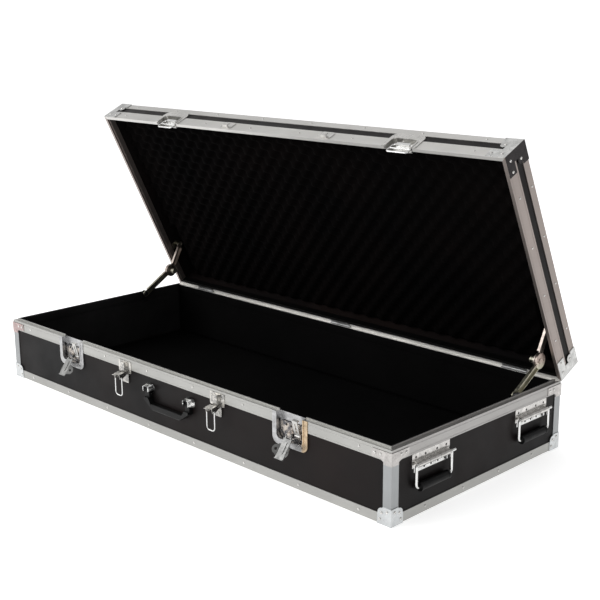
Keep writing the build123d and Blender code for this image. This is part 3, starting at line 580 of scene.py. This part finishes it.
def wall_felts():
    long_x, long_y = HALF_X - INSET, HALF_Y - INSET - FELT_THICK
    rim = (RIM_FOOT, RIM_FOOT + RIM_RISE / 2, RIM_FOOT + RIM_RISE)
    heights = steps(FLOOR_TOP + FLOOR_GAP, RIM_TOP, FELT_RISE, (LATCH_LOW, STAY_LOW, *rim))
    back_heights = [z for z in heights if z < BACK_TOP - LEAST_STEP] + [BACK_TOP]
    dishes = [side * (LATCH_X + edge * LATCH_HALF) for side in (-1, 1) for edge in (-1, 1)]
    across = steps(-long_x, long_x, FELT_STEP, dishes)
    deep = steps(-long_y, long_y, FELT_STEP, (STAY_Y - STAY_HALF, STAY_Y + STAY_HALF))
    cloth("felt_front_wall", across, heights,
          lambda x, z, lift: Vector((x, -HALF_Y + wall_depth(z) + lift, z)), front_skip)
    cloth("felt_back_wall", across, back_heights,
          lambda x, z, lift: Vector((x, HALF_Y - wall_depth(z) - lift, z)), never)
    for side, name in ((1, "right"), (-1, "left")):
        cloth(f"felt_{name}_wall", deep, heights,
              lambda y, z, lift: Vector((side * (HALF_X - wall_depth(z) - lift), y, z)), end_skip)


def floor_felt():
    half_x, half_y = HALF_X - INSET, HALF_Y - INSET
    made = cloth("felt_floor", steps(-half_x, half_x, FLOOR_STEP), steps(-half_y, half_y, FLOOR_STEP),
                 lambda x, y, lift: Vector((x, y, FLOOR_TOP - FELT_THICK + lift)), never)
    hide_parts("base_lining")


wall_felts()
floor_felt()


# ---- Rivets ------------------------------------------------------------------------------------
# The head from its rim up and into its hollow: how wide and how high, in head radii.
RIVET_PROFILE = ((1.0, 0.0), (0.99, 0.14), (0.86, 0.36), (0.64, 0.5), (0.42, 0.55),
                 (0.38, 0.42), (0.16, 0.4))
RIVET_HOLLOW = 0.38           # height of the hollow's middle, in head radii
RIVET_SIDES = 18
MERGE = 1e-6


def islands(mesh):
    """The loose parts of a mesh, as lists of its vertices."""
    left = set(mesh.verts)
    while left:
        group, fresh = [], [left.pop()]
        while fresh:
            v = fresh.pop()
            group.append(v)
            for edge in v.link_edges:
                other = edge.other_vert(v)
                if other in left:
                    left.remove(other)
                    fresh.append(other)
        yield group


def rivet_heads(name, node, body):
    """Domed heads with the broken pin's hollow, in place of the plain cones."""
    source = bmesh.new()
    source.from_mesh(nodes[node].data)
    bmesh.ops.remove_doubles(source, verts=source.verts, dist=MERGE)
    verts, faces = [], []
    for group in islands(source):
        points = np.array([nodes[node].matrix_world @ v.co for v in group])
        middle = (points.max(0) + points.min(0)) / 2
        axis = np.linalg.eigh(np.cov((points - points.mean(0)).T))[1][:, 0]
        height = (points - middle) @ axis
        radii = np.linalg.norm((points - middle) - np.outer(height, axis), axis=1)
        if radii[height > 0].max() > radii[height < 0].max():
            axis, height = -axis, -height
        radius = radii.max()
        up = Vector(axis)
        side = up.orthogonal().normalized()
        other = up.cross(side)
        foot = Vector(middle) + up * float(height.min())
        start = len(verts)
        for scale, rise in RIVET_PROFILE:
            for i in range(RIVET_SIDES):
                angle = 2 * pi * i / RIVET_SIDES
                out = side * cos(angle) + other * sin(angle)
                verts.append(foot + out * float(radius * scale) + up * float(radius * rise))
        verts.append(foot + up * float(radius * RIVET_HOLLOW))
        rows = len(RIVET_PROFILE)
        for row in range(rows - 1):
            for i in range(RIVET_SIDES):
                j = (i + 1) % RIVET_SIDES
                a, b = start + row * RIVET_SIDES, start + (row + 1) * RIVET_SIDES
                faces.append((a + i, a + j, b + j, b + i))
        last = start + (rows - 1) * RIVET_SIDES
        for i in range(RIVET_SIDES):
            faces.append((last + i, last + (i + 1) % RIVET_SIDES, len(verts) - 1))
    source.free()
    made = piece(name, verts, faces, RIVET, body)
    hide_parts(node)


rivet_heads("base_rivet_heads", "base_rivets", "base")
rivet_heads("lid_rivet_heads", "lid_rivets", "lid")


# ---- Floor and light ---------------------------------------------------------------------------
FLOOR_GLOW = 0.62
FADE_X, FADE_UP = (-0.3, 0.8), (0.15, 0.8)     # where the sky's two fades start and end


def floor():
    mesh = bpy.data.meshes.new("floor")
    size = 30
    corners = [(-size, -size, 0), (size, -size, 0), (size, size, 0), (-size, size, 0)]
    mesh.from_pydata(corners, [], [(0, 1, 2, 3)])
    made = bpy.data.objects.new("floor", mesh)
    bpy.context.scene.collection.objects.link(made)
    paint = Paint("floor", (0.93, 0.93, 0.93), 0.9, specular=0.0)
    paint.tint(paint.noise(0.8, 2), 0.2, 0.8, ((0.925, 0.925, 0.925), (0.94, 0.94, 0.94)))
    paint.set("Emission Color", (1, 1, 1, 1))
    paint.set("Emission Strength", FLOOR_GLOW)
    mesh.materials.append(paint.material)


def lamp(name, at, toward, size, power):
    data = bpy.data.lights.new(name, "AREA")
    data.shape = "RECTANGLE"
    data.size, data.size_y = size
    data.energy = power
    made = bpy.data.objects.new(name, data)
    bpy.context.scene.collection.objects.link(made)
    made.location = at
    made.rotation_euler = (Vector(toward) - Vector(at)).to_track_quat("-Z", "Y").to_euler()


def sky(bright, dim, overhead):
    """A soft studio all round, brighter to the left, dimmer to the right and overhead."""
    world = bpy.data.worlds.new("studio")
    bpy.context.scene.world = world
    world.use_nodes = True
    tree = world.node_tree
    back = tree.nodes["Background"]
    back.inputs["Color"].default_value = (1, 1, 1, 1)
    coords = tree.nodes.new("ShaderNodeTexCoord")
    split = tree.nodes.new("ShaderNodeSeparateXYZ")
    both = tree.nodes.new("ShaderNodeMath")
    both.operation = "MULTIPLY"
    tree.links.new(coords.outputs["Generated"], split.inputs["Vector"])
    fades = (("X", FADE_X, bright, dim), ("Z", FADE_UP, 1.0, overhead))
    for entry, (axis, span, start, end) in enumerate(fades):
        fade = tree.nodes.new("ShaderNodeMapRange")
        for socket, value in zip(("From Min", "From Max", "To Min", "To Max"), (*span, start, end)):
            fade.inputs[socket].default_value = value
        tree.links.new(split.outputs[axis], fade.inputs["Value"])
        tree.links.new(fade.outputs["Result"], both.inputs[entry])
    tree.links.new(both.outputs["Value"], back.inputs["Strength"])


floor()
sky(1.14, 0.46, 0.5)
lamp("key", (-2.4, -3.4, 2.4), (0, 0, 0.1), (3.6, 2.4), 70)
lamp("top", (-0.4, 0.6, 3.4), (0, 0, 0), (3.6, 3.0), 14)
